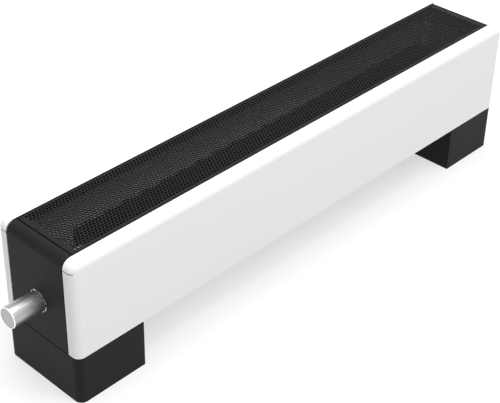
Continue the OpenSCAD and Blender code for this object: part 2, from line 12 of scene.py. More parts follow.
import bpy
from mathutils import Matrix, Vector


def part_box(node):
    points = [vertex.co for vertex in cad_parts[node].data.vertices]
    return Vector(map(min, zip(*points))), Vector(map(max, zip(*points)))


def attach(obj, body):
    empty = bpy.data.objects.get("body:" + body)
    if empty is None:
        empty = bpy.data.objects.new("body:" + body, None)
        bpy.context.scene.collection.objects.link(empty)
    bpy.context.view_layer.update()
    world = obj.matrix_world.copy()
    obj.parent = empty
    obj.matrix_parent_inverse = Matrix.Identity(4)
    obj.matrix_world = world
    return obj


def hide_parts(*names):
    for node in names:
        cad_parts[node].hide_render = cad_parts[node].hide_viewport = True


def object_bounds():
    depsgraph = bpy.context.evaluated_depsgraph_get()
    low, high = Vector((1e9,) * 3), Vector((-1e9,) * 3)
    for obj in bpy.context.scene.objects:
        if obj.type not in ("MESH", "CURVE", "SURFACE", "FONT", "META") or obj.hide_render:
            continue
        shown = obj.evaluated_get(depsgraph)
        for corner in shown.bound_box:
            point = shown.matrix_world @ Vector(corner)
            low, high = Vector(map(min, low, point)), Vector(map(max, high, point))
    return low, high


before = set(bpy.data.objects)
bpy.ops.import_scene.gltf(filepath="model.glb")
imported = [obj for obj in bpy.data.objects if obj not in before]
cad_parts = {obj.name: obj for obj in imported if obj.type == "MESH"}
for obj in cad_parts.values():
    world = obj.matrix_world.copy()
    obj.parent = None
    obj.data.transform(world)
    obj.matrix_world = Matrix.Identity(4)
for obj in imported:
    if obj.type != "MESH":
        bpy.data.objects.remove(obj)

CAD_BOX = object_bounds()
IMAGE_WIDTH = 500
IMAGE_HEIGHT = 403
LOG = logging.getLogger("convector")

Colour = tuple[float, float, float]
Point = tuple[float, float, float]
Socket = bpy.types.NodeSocket
NumberFeed = Union[Socket, float]
ColourFeed = Union[Socket, Colour]


class End(Enum):
    """Ends of the casing, as the names of their nodes start."""

    LEFT = "left"
    RIGHT = "right"


class Grain(Enum):
    """Directions of the fine lines on worked metal, as stretch factors per metre."""

    ALONG_X = (60.0, 5200.0, 5200.0)
    ALONG_Z = (5200.0, 5200.0, 60.0)
    TURNED_X = (5600.0, 130.0, 130.0)
    TURNED_Z = (130.0, 130.0, 5600.0)
    CAST = (900.0, 900.0, 900.0)


class Kind(Enum):
    """Kinds of sockets on a shader group."""

    FLOAT = "NodeSocketFloat"
    COLOUR = "NodeSocketColor"
    VECTOR = "NodeSocketVector"


@dataclass(frozen=True)
class Ramp:
    """A mask that rises from its start to one while its input goes from low to high."""

    low: float
    high: float
    start: float = 0.0


class NodeSheet:
    """A shader node tree with short helpers for placing and joining its nodes."""

    def __init__(self, tree: bpy.types.NodeTree) -> None:
        """Keep the tree that the nodes go into."""
        self.tree = tree

    def add(self, node_type: str, **settings: object) -> bpy.types.Node:
        """Add a node and set its properties.

        Args:
            node_type: Node type name.
            settings: Property names with their values.

        Returns:
            The new node.
        """
        node = self.tree.nodes.new(node_type)
        for key, value in settings.items():
            setattr(node, key, value)
        return node

    def join(self, source: Socket, target: Socket) -> None:
        """Link an output to an input."""
        self.tree.links.new(source, target)

    def feed(self, target: Socket, value: object) -> None:
        """Link a socket to an input, or set a plain value on it.

        Args:
            target: The input.
            value: Socket, number, vector or colour.
        """
        if isinstance(value, Socket):
            self.join(value, target)
        elif target.type == "RGBA":
            target.default_value = (*value, 1.0)
        else:
            target.default_value = value

    def place(self) -> Socket:
        """Give the object's own coordinates."""
        return self.add("ShaderNodeTexCoord").outputs["Object"]

    def normal(self) -> Socket:
        """Give the surface's normal."""
        return self.add("ShaderNodeNewGeometry").outputs["Normal"]

    def split(self, vector: Socket) -> dict[str, Socket]:
        """Part a vector into its values.

        Args:
            vector: The vector.

        Returns:
            The sockets named X, Y and Z.
        """
        node = self.add("ShaderNodeSeparateXYZ")
        self.join(vector, node.inputs[0])
        return {socket.name: socket for socket in node.outputs}

    def math(self, operation: str, first: NumberFeed, second: NumberFeed = 0.0) -> Socket:
        """Add a math node.

        Args:
            operation: Name of the operation.
            first: Socket or number.
            second: Socket or number, for operations that use it.

        Returns:
            The result socket.
        """
        node = self.add("ShaderNodeMath", operation=operation)
        self.feed(node.inputs[0], first)
        self.feed(node.inputs[1], second)
        return node.outputs[0]

    def blend(self, mode: str, factor: NumberFeed, first: ColourFeed,
              second: ColourFeed) -> Socket:
        """Add a colour mix node.

        Args:
            mode: Blend mode.
            factor: Socket or number for the share of the second colour.
            first: Socket or colour.
            second: Socket or colour.

        Returns:
            The mixed colour socket.
        """
        node = self.add("ShaderNodeMix", data_type="RGBA", blend_type=mode)
        inputs = {socket.identifier: socket for socket in node.inputs}
        for name, value in (("Factor_Float", factor), ("A_Color", first), ("B_Color", second)):
            self.feed(inputs[name], value)
        return next(socket for socket in node.outputs if socket.identifier == "Result_Color")

    def noise(self, vector: Socket, scale: NumberFeed, detail: float) -> Socket:
        """Add a noise texture.

        Args:
            vector: Coordinates.
            scale: Socket or number.
            detail: Octaves of the noise.

        Returns:
            The value socket, around one half.
        """
        node = self.add("ShaderNodeTexNoise")
        self.join(vector, node.inputs["Vector"])
        self.feed(node.inputs["Scale"], scale)
        self.feed(node.inputs["Detail"], detail)
        return node.outputs["Fac"]

    def rise(self, value: Socket, ramp: Ramp) -> Socket:
        """Add a clamped mask.

        Args:
            value: Input socket.
            ramp: How the mask rises with it.

        Returns:
            The mask socket.
        """
        node = self.add("ShaderNodeMapRange")
        for name, end in (("Value", value), ("From Min", ramp.low), ("From Max", ramp.high),
                          ("To Min", ramp.start), ("To Max", 1.0)):
            self.feed(node.inputs[name], end)
        return node.outputs["Result"]

    def shade(self, colour: Socket, shift: Socket, amount: Socket) -> Socket:
        """Make a colour lighter and darker by a shift around zero.

        Args:
            colour: The colour.
            shift: The shift.
            amount: Share of the shift that is used.

        Returns:
            The shaded colour socket.
        """
        gain = self.math("ADD", self.math("MULTIPLY", shift, amount), 1.0)
        tint = self.add("ShaderNodeCombineColor")
        for channel in tint.inputs:
            self.join(gain, channel)
        return self.blend("MULTIPLY", 1.0, colour, tint.outputs[0])


class ShaderGroups:
    """Shader node groups that more than one finish uses."""

    NOISE_MIDDLE = 0.5
    SKIN_DETAIL = 2.0
    MOTTLE_SCALE = 11.0
    MOTTLE_DETAIL = 3.0
    MOTTLE_SHARE = 0.7
    UPWARD_RAMP = Ramp(0.55, 1.0)
    SPECK_SCALE = 420.0
    SPECK_DETAIL = 4.0
    SPECK_RAMP = Ramp(0.38, 0.72, 0.25)
    PATCH_SCALE = 16.0
    PATCH_DETAIL = 2.0
    PATCH_RAMP = Ramp(0.3, 0.7, 0.35)
    LINE_DETAIL = 3.0
    CLOUD_DETAIL = 5.0
    CLOUD_RAMP = Ramp(0.42, 0.66)

    def __init__(self) -> None:
        """Build every group once."""
        self.skin = self._skin()
        self.dust = self._dust()
        self.lines = self._lines()
        self.tarnish = self._tarnish()
        self.zone = self._zone()

    @staticmethod
    def _start(name: str, inputs: dict[str, Kind],
               outputs: dict[str, Kind]) -> tuple[NodeSheet, bpy.types.Node, bpy.types.Node]:
        """Make an empty group with its sockets.

        Args:
            name: Name of the group.
            inputs: Names and kinds of the inputs.
            outputs: Names and kinds of the outputs.

        Returns:
            The sheet, the input node and the output node.
        """
        tree = bpy.data.node_groups.new(name, "ShaderNodeTree")
        for side, sockets in (("INPUT", inputs), ("OUTPUT", outputs)):
            for label, kind in sockets.items():
                tree.interface.new_socket(name=label, in_out=side, socket_type=kind.value)
        sheet = NodeSheet(tree)
        return sheet, sheet.add("NodeGroupInput"), sheet.add("NodeGroupOutput")

    def _skin(self) -> bpy.types.NodeTree:
        """Make the fine skin of a sprayed or powder coat.

        Returns:
            The group, with a colour, a roughness and a height.
        """
        sheet, given, made = self._start(
            "coat_skin",
            {"Color": Kind.COLOUR, "Tone": Kind.FLOAT, "Density": Kind.FLOAT,
             "Roughness": Kind.FLOAT, "Spread": Kind.FLOAT},
            {"Color": Kind.COLOUR, "Roughness": Kind.FLOAT, "Height": Kind.FLOAT},
        )
        place = sheet.place()
        fine = sheet.noise(place, given.outputs["Density"], self.SKIN_DETAIL)
        broad = sheet.noise(place, self.MOTTLE_SCALE, self.MOTTLE_DETAIL)
        shift = sheet.math("SUBTRACT", broad, self.NOISE_MIDDLE)
        colour = sheet.shade(given.outputs["Color"], shift, given.outputs["Tone"])
        sheet.join(colour, made.inputs["Color"])
        mottled = sheet.math("ADD", sheet.math("MULTIPLY", shift, self.MOTTLE_SHARE),
                             sheet.math("SUBTRACT", fine, self.NOISE_MIDDLE))
        rough = sheet.math("MULTIPLY", mottled, given.outputs["Spread"])
        rough = sheet.math("ADD", rough, given.outputs["Roughness"])
        sheet.join(rough, made.inputs["Roughness"])
        sheet.join(fine, made.inputs["Height"])
        return sheet.tree

    def _dust(self) -> bpy.types.NodeTree:
        """Make the thin dust that settles on faces that look up.

        Returns:
            The group, with a colour and a mask.
        """
        sheet, given, made = self._start(
            "settled_dust",
            {"Color": Kind.COLOUR, "Dust": Kind.COLOUR, "Amount": Kind.FLOAT},
            {"Color": Kind.COLOUR, "Mask": Kind.FLOAT},
        )
        place = sheet.place()
        upward = sheet.rise(sheet.split(sheet.normal())["Z"], self.UPWARD_RAMP)
        speck = sheet.rise(sheet.noise(place, self.SPECK_SCALE, self.SPECK_DETAIL),
                           self.SPECK_RAMP)
        patch = sheet.rise(sheet.noise(place, self.PATCH_SCALE, self.PATCH_DETAIL),
                           self.PATCH_RAMP)
        film = sheet.math("MULTIPLY", sheet.math("MULTIPLY", upward, speck), patch)
        mask = sheet.math("MULTIPLY", film, given.outputs["Amount"])
        colour = sheet.blend("MIX", mask, given.outputs["Color"], given.outputs["Dust"])
        sheet.join(colour, made.inputs["Color"])
        sheet.join(mask, made.inputs["Mask"])
        return sheet.tree

    def _lines(self) -> bpy.types.NodeTree:
        """Make the fine parallel lines of brushed, drawn or turned metal.

        Returns:
            The group, with a colour, a roughness and a height.
        """
        sheet, given, made = self._start(
            "metal_lines",
            {"Color": Kind.COLOUR, "Stretch": Kind.VECTOR, "Contrast": Kind.FLOAT,
             "Roughness": Kind.FLOAT, "Spread": Kind.FLOAT},
            {"Color": Kind.COLOUR, "Roughness": Kind.FLOAT, "Height": Kind.FLOAT},
        )
        scaled = sheet.add("ShaderNodeVectorMath", operation="MULTIPLY")
        sheet.join(sheet.place(), scaled.inputs[0])
        sheet.join(given.outputs["Stretch"], scaled.inputs[1])
        lines = sheet.noise(scaled.outputs[0], 1.0, self.LINE_DETAIL)
        shift = sheet.math("SUBTRACT", lines, self.NOISE_MIDDLE)
        colour = sheet.shade(given.outputs["Color"], shift, given.outputs["Contrast"])
        sheet.join(colour, made.inputs["Color"])
        rough = sheet.math("MULTIPLY", shift, given.outputs["Spread"])
        rough = sheet.math("ADD", rough, given.outputs["Roughness"])
        sheet.join(rough, made.inputs["Roughness"])
        sheet.join(lines, made.inputs["Height"])
        return sheet.tree

    def _tarnish(self) -> bpy.types.NodeTree:
        """Make the cloudy patches of metal that has aged in use.

        Returns:
            The group, with a colour and a mask.
        """
        sheet, given, made = self._start(
            "tarnish_patches",
            {"Color": Kind.COLOUR, "Aged": Kind.COLOUR, "Amount": Kind.FLOAT,
             "Density": Kind.FLOAT},
            {"Color": Kind.COLOUR, "Mask": Kind.FLOAT},
        )
        noise = sheet.noise(sheet.place(), given.outputs["Density"], self.CLOUD_DETAIL)
        cloud = sheet.rise(noise, self.CLOUD_RAMP)
        mask = sheet.math("MULTIPLY", cloud, given.outputs["Amount"])
        colour = sheet.blend("MIX", mask, given.outputs["Color"], given.outputs["Aged"])
        sheet.join(colour, made.inputs["Color"])
        sheet.join(mask, made.inputs["Mask"])
        return sheet.tree

    def _zone(self) -> bpy.types.NodeTree:
        """Paint a colour on faces within a box that lies evenly about the upright axis, used for
        painted shade and for grey primer.

        Returns:
            The group, with a colour and a mask.
        """
        sheet, given, made = self._start(
            "box_zone",
            {"Color": Kind.COLOUR, "Own": Kind.COLOUR, "Reach": Kind.VECTOR,
             "Floor": Kind.FLOAT},
            {"Color": Kind.COLOUR, "Mask": Kind.FLOAT},
        )
        place = sheet.split(sheet.place())
        limit = sheet.split(given.outputs["Reach"])
        mask = sheet.math("GREATER_THAN", place["Z"], given.outputs["Floor"])
        for axis, value in place.items():
            inside = sheet.math("LESS_THAN", sheet.math("ABSOLUTE", value), limit[axis])
            mask = sheet.math("MULTIPLY", mask, inside)
        colour = sheet.blend("MIX", mask, given.outputs["Color"], given.outputs["Own"])
        sheet.join(colour, made.inputs["Color"])
        sheet.join(mask, made.inputs["Mask"])
        return sheet.tree


class FinishSheet(NodeSheet):
    """The node tree of one material, with its shader in place."""

    def __init__(self, name: str) -> None:
        """Start a material.

        Args:
            name: Name of the material.
        """
        self.material = bpy.data.materials.new(name)
        self.material.use_nodes = True
        super().__init__(self.material.node_tree)
        self.shader = self.tree.nodes["Principled BSDF"]

    def group(self, tree: bpy.types.NodeTree, **values: object) -> bpy.types.Node:
        """Place a group and feed its inputs.

        Args:
            tree: The group's tree.
            values: Input names with a socket, a number or a triple.

        Returns:
            The group node.
        """
        node = self.add("ShaderNodeGroup", node_tree=tree)
        for name, value in values.items():
            self.feed(node.inputs[name], value)
        return node

    def bump(self, height: Socket, distance: float, strength: float) -> None:
        """Feed a height into the shader's normal.

        Args:
            height: Height socket.
            distance: Depth of the relief in metres.
            strength: Share of the relief.
        """
        node = self.add("ShaderNodeBump")
        for name, value in (("Distance", distance), ("Strength", strength), ("Height", height)):
            self.feed(node.inputs[name], value)
        self.join(node.outputs["Normal"], self.shader.inputs["Normal"])

    def constant(self, **values: float) -> None:
        """Set plain values on the shader, with underscores for spaces in socket names."""
        for name, value in values.items():
            self.shader.inputs[name.replace("_", " ")].default_value = value


@dataclass(frozen=True)
class Zone:
    """A box about the upright axis whose faces get a painted colour: painted shade, in the inside
    zones together with grey primer.

    The inset is its distance inside the casing's ends, its front and rear, and its top.
    """

    colour: Colour
    inset: Point
    height: float

    def reach(self) -> Point:
        """Give half the box's length, half its depth and the height of its top."""
        end, rear, top = CAD_BOX[1]
        return end - self.inset[0], rear - self.inset[1], top - self.inset[2]

    def floor(self) -> float:
        """Give the height of the box's bottom."""
        return self.reach()[2] - self.height


@dataclass(frozen=True)
class TurnedEnd:
    """Painted shade colour of a turned piece's end face and painted highlight colour of the
    rounding beside it.
    """

    face: Colour
    rounding: Colour


@dataclass(frozen=True)
class CoatFinish:
    """Sprayed or powder-coated sheet metal, or a moulded polymer with the same kind of skin."""

    name: str
    colour: Colour
    roughness: float
    spread: float = 0.08
    tone: float = 0.03
    density: float = 1500.0
    relief: float = 0.00002
    relief_strength: float = 0.35
    dust_colour: Colour = (0.42, 0.41, 0.39)
    dust: float = 0.0
    specular: float = 0.5
    coat: float = 0.0
    coat_roughness: float = 0.2
    zones: tuple[Zone, ...] = ()

    def make(self, groups: ShaderGroups) -> bpy.types.Material:
        """Build the material.

        Args:
            groups: Shared shader groups.

        Returns:
            The material.
        """
        sheet = FinishSheet(self.name)
        skin = sheet.group(groups.skin, Color=self.colour, Tone=self.tone, Density=self.density,
                           Roughness=self.roughness, Spread=self.spread)
        film = sheet.group(groups.dust, Color=skin.outputs["Color"], Dust=self.dust_colour,
                           Amount=self.dust)
        colour = film.outputs["Color"]
        for zone in self.zones:
            inside = sheet.group(groups.zone, Color=colour, Own=zone.colour,
                                 Reach=zone.reach(), Floor=zone.floor())
            colour = inside.outputs["Color"]
        sheet.join(colour, sheet.shader.inputs["Base Color"])
        sheet.join(skin.outputs["Roughness"], sheet.shader.inputs["Roughness"])
        sheet.bump(skin.outputs["Height"], self.relief, self.relief_strength)
        sheet.constant(Specular_IOR_Level=self.specular, Coat_Weight=self.coat,
                       Coat_Roughness=self.coat_roughness)
        return sheet.material


@dataclass(frozen=True)
class MetalFinish:
    """Bare metal with fine working lines and some age."""

    ROUNDING_RAMP = Ramp(0.15, 0.3)
    FACE_RAMP = Ramp(0.97, 0.995)

    name: str
    colour: Colour
    roughness: float
    grain: Grain
    contrast: float = 0.12
    spread: float = 0.14
    relief: float = 0.000012
    relief_strength: float = 0.3
    aged: Colour = (0.3, 0.28, 0.26)
    age: float = 0.2
    age_density: float = 60.0
    age_dullness: float = 0.35
    end: TurnedEnd | None = None

    def make(self, groups: ShaderGroups) -> bpy.types.Material:
        """Build the material.

        Args:
            groups: Shared shader groups.

        Returns:
            The material.
        """
        sheet = FinishSheet(self.name)
        lines = sheet.group(groups.lines, Color=self.colour, Stretch=self.grain.value,
                            Contrast=self.contrast, Roughness=self.roughness,
                            Spread=self.spread)
        patches = sheet.group(groups.tarnish, Color=lines.outputs["Color"], Aged=self.aged,
                              Amount=self.age, Density=self.age_density)
        colour = patches.outputs["Color"]
        if self.end is not None:
            colour = self._ends(sheet, colour, self.end)
        sheet.join(colour, sheet.shader.inputs["Base Color"])
        duller = sheet.math("MULTIPLY", patches.outputs["Mask"], self.age_dullness)
        rough = sheet.math("ADD", lines.outputs["Roughness"], duller)
        sheet.join(rough, sheet.shader.inputs["Roughness"])
        sheet.bump(lines.outputs["Height"], self.relief, self.relief_strength)
        sheet.constant(Metallic=1.0)
        return sheet.material

    def _ends(self, sheet: FinishSheet, colour: Socket, end: TurnedEnd) -> Socket:
        """Paint shade on the end faces across X and a highlight on the roundings beside them.

        Args:
            sheet: The material's tree.
            colour: Colour of the sides.
            end: Colours of the ends.

        Returns:
            end: Painted shade and highlight colours of the ends.
        """
        across = sheet.math("ABSOLUTE", sheet.split(sheet.normal())["X"])
        rounding = sheet.rise(across, self.ROUNDING_RAMP)
        face = sheet.rise(across, self.FACE_RAMP)
        highlighted = sheet.blend("MIX", rounding, colour, end.rounding)
        return sheet.blend("MIX", face, highlighted, end.face)


Finish = Union[CoatFinish, MetalFinish]


class Finishes:
    """Every material of the convector, made once each."""

    # Grey primer on the inner faces of the panels and right cap, made darker still as painted
    # shade, because the grille's sheet casts no shadow into the casing.
    PRIMER_AND_SHADE = (0.27, 0.2725, 0.275)
    # Painted shade: near-black on the ledge under the grille and on the panel and cap walls in the
    # gap beside it, where shade falls.
    GAP_SHADE = (0.01, 0.01, 0.01)
    # Painted shade: near-black in the slit where each panel's side flange meets its rolled top
    # corner.
    SLIT_SHADE = (0.02, 0.02, 0.02)
    PANEL_INSIDE = Zone(PRIMER_AND_SHADE, (0.0070, 0.0014, 0.0115), 0.1191)
    CAP_INSIDE = Zone(PRIMER_AND_SHADE, (0.0010, 0.0014, 0.0115), 0.1191)
    PANEL_GAP = Zone(GAP_SHADE, (0.0105, 0.0148, 0.0003), 0.0112)
    CAP_GAP = Zone(GAP_SHADE, (0.0144, 0.0148, 0.0003), 0.0112)
    CORNER_SLIT = Zone(SLIT_SHADE, (-0.0100, 0.0026, 0.01195), 0.0010)

    PANEL = CoatFinish("white_panel_coat", (0.80, 0.80, 0.795), 0.42, tone=0.02, dust=0.02,
                       coat=0.1, zones=(PANEL_INSIDE, PANEL_GAP, CORNER_SLIT))
    CAP = replace(PANEL, name="white_cap_coat", zones=(CAP_INSIDE, CAP_GAP))
    BLACK = CoatFinish("black_powder_coat", (0.011, 0.011, 0.0112), 0.55, spread=0.12, tone=0.2,
                       relief=0.00003, relief_strength=0.5, dust=0.005, specular=0.12)
    GRILLE = CoatFinish("black_grille_coat", (0.0088, 0.0088, 0.0090), 0.5, spread=0.12,
                        tone=0.2, relief=0.00003, relief_strength=0.4, dust=0.008,
                        specular=0.13)
    # Painted shade: near-black on the walls of the grille's holes, which the sheet doesn't shade
    # itself since it lets shadow rays pass.
    HOLE_WALL_SHADE = CoatFinish("hole_wall_shade", (0.004, 0.004, 0.0041), 0.8, spread=0.1, tone=0.2,
                          specular=0.02)
    # Dark coat on the fins and cradles, darkened also as painted shade for the shade inside the
    # casing.
    DARK_COAT_AND_SHADE = CoatFinish("dark_coat_and_shade", (0.010, 0.010, 0.0105), 0.5, spread=0.2, tone=0.4,
                      dust=0.06, specular=0.2)
    RUBBER = CoatFinish("strip_rubber", (0.010, 0.010, 0.010), 0.85, density=2600.0, tone=0.3,
                        specular=0.1)
    PLASTIC = CoatFinish("head_plastic", (0.022, 0.022, 0.023), 0.45, density=2200.0, tone=0.15)
    ZINC = MetalFinish("zinc_plate", (0.56, 0.57, 0.59), 0.36, Grain.CAST,
                       aged=(0.42, 0.42, 0.41), age=0.5)
    COPPER = MetalFinish("drawn_copper", (0.97, 0.68, 0.56), 0.55, Grain.ALONG_X,
                         aged=(0.75, 0.45, 0.33), age=0.2)
    # Painted shade: the return bend's copper is darkened to stand in for the shade inside the
    # casing.
    BEND_COPPER_SHADE = MetalFinish("bend_copper_shade", (0.24, 0.14, 0.10), 0.6, Grain.CAST,
                         aged=(0.10, 0.06, 0.05), age=0.5)
    RISER = MetalFinish("riser_copper", (0.95, 0.57, 0.42), 0.5, Grain.ALONG_Z,
                        aged=(0.60, 0.30, 0.20), age=0.3)
    NICKEL = MetalFinish("nickel_plate", (0.60, 0.59, 0.57), 0.3, Grain.TURNED_Z,
                         aged=(0.44, 0.43, 0.40), age=0.3)
    BRASS = MetalFinish("machined_brass", (0.75, 0.57, 0.27), 0.32, Grain.TURNED_Z,
                        aged=(0.40, 0.27, 0.11), age=0.45)
    # The knob's end faces take a darker painted shade and the rounding beside them a near-white
    # painted highlight, picked by the surface normal.
    KNOB = MetalFinish("turned_steel", (0.49, 0.49, 0.486), 0.34, Grain.TURNED_X, contrast=0.1,
                       age=0.06, end=TurnedEnd((0.41, 0.41, 0.407), (0.95, 0.95, 0.945)))
    STEEL = MetalFinish("spindle_steel", (0.60, 0.60, 0.60), 0.3, Grain.TURNED_Z, age=0.15)
    CHROME = MetalFinish("nut_chrome", (0.62, 0.63, 0.64), 0.12, Grain.TURNED_X, contrast=0.05,
                         spread=0.05, age=0.05)

    def __init__(self) -> None:
        """Start with no material made."""
        self._groups = ShaderGroups()
        self._made: dict[str, bpy.types.Material] = {}

    def get(self, finish: Finish) -> bpy.types.Material:
        """Give a finish's material, made once.

        Args:
            finish: The finish.

        Returns:
            Its material.
        """
        if finish.name not in self._made:
            self._made[finish.name] = finish.make(self._groups)
        return self._made[finish.name]

    def dress(self, finish: Finish, *nodes: str) -> None:
        """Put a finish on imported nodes.

        Args:
            finish: The finish.
            nodes: Names of the nodes.
        """
        for node in nodes:
            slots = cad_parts[node].data.materials
            slots.clear()
            slots.append(self.get(finish))
            LOG.info("dressed %s in %s", node, finish.name)


class MeshDraft:
    """Points and faces of a mesh under construction, with shared points."""

    STEP = 1e-7

    def __init__(self) -> None:
        """Start empty."""
        self.points: list[Point] = []
        self.faces: list[list[int]] = []
        self._known: dict[tuple[int, int, int], int] = {}

    def point(self, x: float, y: float, z: float) -> int:
        """Give the index of a point, added if it is new.

        Args:
            x: Place along X.
            y: Place along Y.
            z: Height.

        Returns:
            The index.
        """
        key = (round(x / self.STEP), round(y / self.STEP), round(z / self.STEP))
        if key not in self._known:
            self._known[key] = len(self.points)
            self.points.append((x, y, z))
        return self._known[key]

    def face(self, corners: Sequence[int]) -> None:
        """Add a face from point indices."""
        self.faces.append(list(corners))

    def piece(self, name: str, *materials: bpy.types.Material) -> bpy.types.Object:
        """Make the object.

        Args:
            name: Name of the piece.
            materials: Its materials, the first of them on every face.

        Returns:
            The linked object.
        """
        mesh = bpy.data.meshes.new(name)
        mesh.from_pydata(self.points, [], self.faces)
        mesh.validate()
        mesh.update()
        for material in materials:
            mesh.materials.append(material)
        made = bpy.data.objects.new(name, mesh)
        bpy.context.scene.collection.objects.link(made)
        return made


@dataclass
class Casing:
    """White panels, the two end caps and the strips that the grille rests on."""

    finishes: Finishes

    def dress(self) -> None:
        """Put the paint on the panels and caps."""
        self.finishes.dress(Finishes.PANEL, "front_panel", "rear_panel")
        self.finishes.dress(Finishes.CAP, "right_end_cap")
        self.finishes.dress(Finishes.BLACK, "left_end_cap")
        self.finishes.dress(Finishes.RUBBER, "grille_strips")


@dataclass
class PerforatedGrille:
    """The lift-out grille: staggered round holes in a sheet with a folded rim.

    The first hole is the distance of its middle from the sheet's left face, and the shift moves
    the field of holes towards the rear.
    """

    finishes: Finishes
    pitch: float = 0.0048
    row_step: float = 0.00422
    rows: int = 21
    columns: int = 157
    first_hole: float = 0.0087
    field_shift: float = 0.0006
    hole_radius: float = 0.00185
    hole_points: int = 12
    thickness: float = 0.0012
    edge_play: float = 0.0004
    bend: float = 0.0012
    bend_steps: int = 4
    plan_radius: float = 0.0018
    corner_steps: int = 4

    def build(self) -> bpy.types.Object:
        """Model the sheet hole by hole and put it in place of the slotted solid.

        Returns:
            The grille.
        """
        low, high = (Vector(corner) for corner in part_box("grille"))
        play = Vector((self.edge_play, self.edge_play, 0.0))
        low, high = low + play, high - play
        draft = MeshDraft()
        edge = self._field(draft, low.x + self.first_hole, high.z)
        self._rim(draft, low, high, edge)
        piece = draft.piece("perforated_grille", self.finishes.get(Finishes.GRILLE),
                            self.finishes.get(Finishes.HOLE_WALL_SHADE))
        solid = piece.modifiers.new("sheet", "SOLIDIFY")
        solid.thickness = self.thickness
        solid.offset = -1.0
        solid.use_even_offset = True
        # The hole walls take the second material, near-black painted shade.
        solid.material_offset_rim = 1
        # Light through thousands of small holes is grainy, so the sheet lets shadow rays pass.
        piece.visible_shadow = False
        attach(piece, "grille")
        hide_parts("grille")
        LOG.info("built %s with %d faces", piece.name, len(draft.faces))
        return piece

    def _ring(self) -> list[tuple[float, float]]:
        """Give a hole's points about its middle, counter-clockwise from the front."""
        turns = [math.radians(-90 + 360 * k / self.hole_points) for k in range(self.hole_points)]
        return [(self.hole_radius * math.cos(t), self.hole_radius * math.sin(t)) for t in turns]

    def _field(self, draft: MeshDraft, first_x: float, z: float) -> dict[str, list[int]]:
        """Draw the cells, each with one round hole.

        Args:
            draft: The mesh.
            first_x: Place of the first hole's middle along X.
            z: Height of the sheet's top.

        Returns:
            The field's outline as four runs of points: front, right, rear and left.
        """
        half = self.pitch / 2
        step = self.row_step
        left = first_x - half
        right = left + self.columns * self.pitch
        ring = self._ring()
        for row in range(self.rows):
            y = (row - (self.rows - 1) / 2) * step + self.field_shift
            y0, y1 = y - step / 2, y + step / 2
            odd = row % 2
            for column in range(self.columns - odd):
                x = first_x + column * self.pitch + odd * half
                cell = [draft.point(x + dx, edge_y, z) for dx, edge_y in
                        ((0, y0), (half, y0), (half, y1), (0, y1), (-half, y1), (-half, y0))]
                hole = [draft.point(x + dx, y + dy, z) for dx, dy in ring]
                span = len(hole) // len(cell)
                for index, corner in enumerate(cell):
                    start = index * span
                    arc = [hole[k % len(hole)] for k in range(start + span, start - 1, -1)]
                    draft.face([corner, cell[(index + 1) % len(cell)], *arc])
            if odd:
                for x0, x1 in ((left, left + half), (right - half, right)):
                    draft.face([draft.point(x0, y0, z), draft.point(x1, y0, z),
                                draft.point(x1, y1, z), draft.point(x0, y1, z)])
        front = self.field_shift - self.rows * step / 2
        rear = front + self.rows * step
        levels = [front + k * step for k in range(self.rows + 1)]
        lines = [left + k * half for k in range(2 * self.columns + 1)]
        return {
            "front": [draft.point(x, front, z) for x in lines],
            "right": [draft.point(right, y, z) for y in levels],
            "rear": [draft.point(x, rear, z) for x in reversed(lines)],
            "left": [draft.point(left, y, z) for y in reversed(levels)],
        }

    def _loop(self, draft: MeshDraft, low: Vector, high: Vector, inset: float,
              z: float) -> list[list[int]]:
        """Draw a rounded rectangle.

        Args:
            draft: The mesh.
            low: Lowest corner of the grille.
            high: Highest corner of the grille.
            inset: Distance inside the outer faces.
            z: Height.

        Returns:
            The points of its four corners: front right, rear right, rear left and front left.
        """
        reach = self.plan_radius
        radius = reach - inset
        x0, x1 = low.x + reach, high.x - reach
        y0, y1 = low.y + reach, high.y - reach
        corners = []
        for quarter, (cx, cy) in enumerate(((x1, y0), (x1, y1), (x0, y1), (x0, y0))):
            arc = []
            for k in range(self.corner_steps + 1):
                turn = math.radians(-90 + 90 * quarter + 90 * k / self.corner_steps)
                arc.append(draft.point(cx + radius * math.cos(turn),
                                       cy + radius * math.sin(turn), z))
            corners.append(arc)
        return corners

    def _rim(self, draft: MeshDraft, low: Vector, high: Vector,
             edge: dict[str, list[int]]) -> None:
        """Draw the plain border, the bend and the folded rim.

        Args:
            draft: The mesh.
            low: Lowest corner of the grille.
            high: Highest corner of the grille.
            edge: Outline of the field of holes.
        """
        rings = []
        for k in range(self.bend_steps + 1):
            turn = math.radians(90 * k / self.bend_steps)
            inset = self.bend * (1 - math.sin(turn))
            drop = self.bend * (1 - math.cos(turn))
            rings.append(self._loop(draft, low, high, inset, high.z - drop))
        rings.append(self._loop(draft, low, high, 0.0, low.z))
        half = self.corner_steps // 2
        inner = rings[0]
        for side, start, end in (("front", 3, 0), ("right", 0, 1), ("rear", 1, 2), ("left", 2, 3)):
            outside = inner[start][half:] + inner[end][:half + 1]
            draft.face(outside + list(reversed(edge[side])))
        for upper, lower in zip(rings, rings[1:]):
            first = [p for arc in upper for p in arc]
            second = [p for arc in lower for p in arc]
            for k in range(len(first)):
                draft.face([first[k], first[k - 1], second[k - 1], second[k]])


@dataclass
class Feet:
    """Foot covers, the brackets inside them and the cradles above."""

    finishes: Finishes

    def dress(self) -> None:
        """Put the finishes on both feet."""
        for end in End:
            self.finishes.dress(Finishes.BLACK, f"{end.value}_foot_cover")
            self.finishes.dress(Finishes.ZINC, f"{end.value}_foot_bracket")
            self.finishes.dress(Finishes.DARK_COAT_AND_SHADE, f"{end.value}_cradle")


